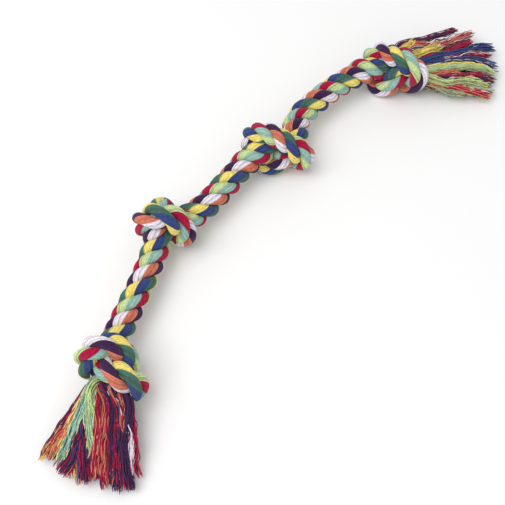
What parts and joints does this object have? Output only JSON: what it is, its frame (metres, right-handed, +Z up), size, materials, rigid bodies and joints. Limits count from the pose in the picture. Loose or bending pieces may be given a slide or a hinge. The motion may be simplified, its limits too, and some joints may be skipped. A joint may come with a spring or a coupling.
{
  "type": "rope dog toy",
  "caption": "Length of multicoloured three-strand cotton rope tied in overhand knots with a frayed tassel at each end, for a dog to chew, tug and fetch.",
  "frame": {"origin": "on the floor under the middle of the toy as it lies, at the centre of its bounding box", "axes": "+Z up from the floor; +Y across the floor along the longest extent, away from the viewer; +X to the right"},
  "size_m": [0.3624, 0.4142, 0.0538],
  "materials": {
    "purple": "matte cotton yarn",
    "orange": "matte cotton yarn",
    "navy": "matte cotton yarn",
    "red": "matte cotton yarn",
    "aqua": "matte cotton yarn",
    "light_green": "matte cotton yarn",
    "yellow": "matte cotton yarn",
    "dark_green": "matte cotton yarn",
    "white": "matte cotton yarn",
    "strand_a": "matte cotton in purple, white and orange stripes",
    "strand_b": "matte cotton in yellow, navy and dark green stripes",
    "strand_c": "matte cotton in light green, aqua and red stripes",
    "core": "matte cotton of mixed colours"
  },
  "bodies": {
    "knot_1": {"knot_1_strand_a": "strand_a", "knot_1_strand_b": "strand_b", "knot_1_strand_c": "strand_c"},
    "knot_2": {"knot_2_strand_a": "strand_a", "knot_2_strand_b": "strand_b", "knot_2_strand_c": "strand_c"},
    "knot_3": {"knot_3_strand_a": "strand_a", "knot_3_strand_b": "strand_b", "knot_3_strand_c": "strand_c"},
    "knot_4": {"knot_4_strand_a": "strand_a", "knot_4_strand_b": "strand_b", "knot_4_strand_c": "strand_c"},
    "span_1": {"span_1_strand_a": "strand_a", "span_1_strand_b": "strand_b", "span_1_strand_c": "strand_c"},
    "span_2": {"span_2_strand_a": "strand_a", "span_2_strand_b": "strand_b", "span_2_strand_c": "strand_c"},
    "span_3": {"span_3_strand_a": "strand_a", "span_3_strand_b": "strand_b", "span_3_strand_c": "strand_c"},
    "tassel_1": {"tassel_1_core": "core", "tassel_1_yarn_purple": "purple", "tassel_1_yarn_orange": "orange", "tassel_1_yarn_navy": "navy", "tassel_1_yarn_red": "red", "tassel_1_yarn_aqua": "aqua", "tassel_1_yarn_light_green": "light_green", "tassel_1_yarn_yellow": "yellow", "tassel_1_yarn_dark_green": "dark_green", "tassel_1_yarn_white": "white"},
    "tassel_2": {"tassel_2_core": "core", "tassel_2_yarn_purple": "purple", "tassel_2_yarn_orange": "orange", "tassel_2_yarn_navy": "navy", "tassel_2_yarn_red": "red", "tassel_2_yarn_aqua": "aqua", "tassel_2_yarn_light_green": "light_green", "tassel_2_yarn_yellow": "yellow", "tassel_2_yarn_dark_green": "dark_green", "tassel_2_yarn_white": "white"}
  },
  "joints": [
    {"name": "span_1_swing", "type": "hinge", "parent": "knot_2", "child": "span_1", "pos_m": [-0.1148, -0.0442, 0.0194], "axis": [0, 0, 1], "range_deg": [-45, 45], "deforming": ["span_1_strand_a", "span_1_strand_b", "span_1_strand_c"]},
    {"name": "span_1_lift", "type": "hinge", "parent": "span_1", "child": "knot_1", "pos_m": [-0.1297, -0.0866, 0.0198], "axis": [-0.9441, 0.3297, 0], "range_deg": [-45, 45], "deforming": ["span_1_strand_a", "span_1_strand_b", "span_1_strand_c"]},
    {"name": "span_2_swing", "type": "hinge", "parent": "knot_2", "child": "span_2", "pos_m": [-0.07, 0.016, 0.0203], "axis": [0, 0, 1], "range_deg": [-45, 45], "deforming": ["span_2_strand_a", "span_2_strand_b", "span_2_strand_c"]},
    {"name": "span_2_lift", "type": "hinge", "parent": "span_2", "child": "knot_3", "pos_m": [-0.047, 0.0467, 0.02], "axis": [0.8121, -0.5835, 0], "range_deg": [-45, 45], "deforming": ["span_2_strand_a", "span_2_strand_b", "span_2_strand_c"]},
    {"name": "span_3_swing", "type": "hinge", "parent": "knot_3", "child": "span_3", "pos_m": [0.0076, 0.1065, 0.0204], "axis": [0, 0, 1], "range_deg": [-45, 45], "deforming": ["span_3_strand_a", "span_3_strand_b", "span_3_strand_c"]},
    {"name": "span_3_lift", "type": "hinge", "parent": "span_3", "child": "knot_4", "pos_m": [0.0425, 0.1398, 0.0203], "axis": [0.6063, -0.7952, 0], "range_deg": [-45, 45], "deforming": ["span_3_strand_a", "span_3_strand_b", "span_3_strand_c"]},
    {"name": "tassel_1_swing", "type": "hinge", "parent": "knot_1", "child": "tassel_1", "pos_m": [-0.1354, -0.1461, 0.0196], "axis": [0, 0, 1], "range_deg": [-30, 30], "deforming": ["tassel_1_core", "tassel_1_yarn_purple", "tassel_1_yarn_orange", "tassel_1_yarn_navy", "tassel_1_yarn_red", "tassel_1_yarn_aqua", "tassel_1_yarn_light_green", "tassel_1_yarn_yellow", "tassel_1_yarn_dark_green", "tassel_1_yarn_white"]},
    {"name": "tassel_2_swing", "type": "hinge", "parent": "knot_4", "child": "tassel_2", "pos_m": [0.1062, 0.1561, 0.0241], "axis": [0, 0, 1], "range_deg": [-30, 30], "deforming": ["tassel_2_core", "tassel_2_yarn_purple", "tassel_2_yarn_orange", "tassel_2_yarn_navy", "tassel_2_yarn_red", "tassel_2_yarn_aqua", "tassel_2_yarn_light_green", "tassel_2_yarn_yellow", "tassel_2_yarn_dark_green", "tassel_2_yarn_white"]}
  ]
}
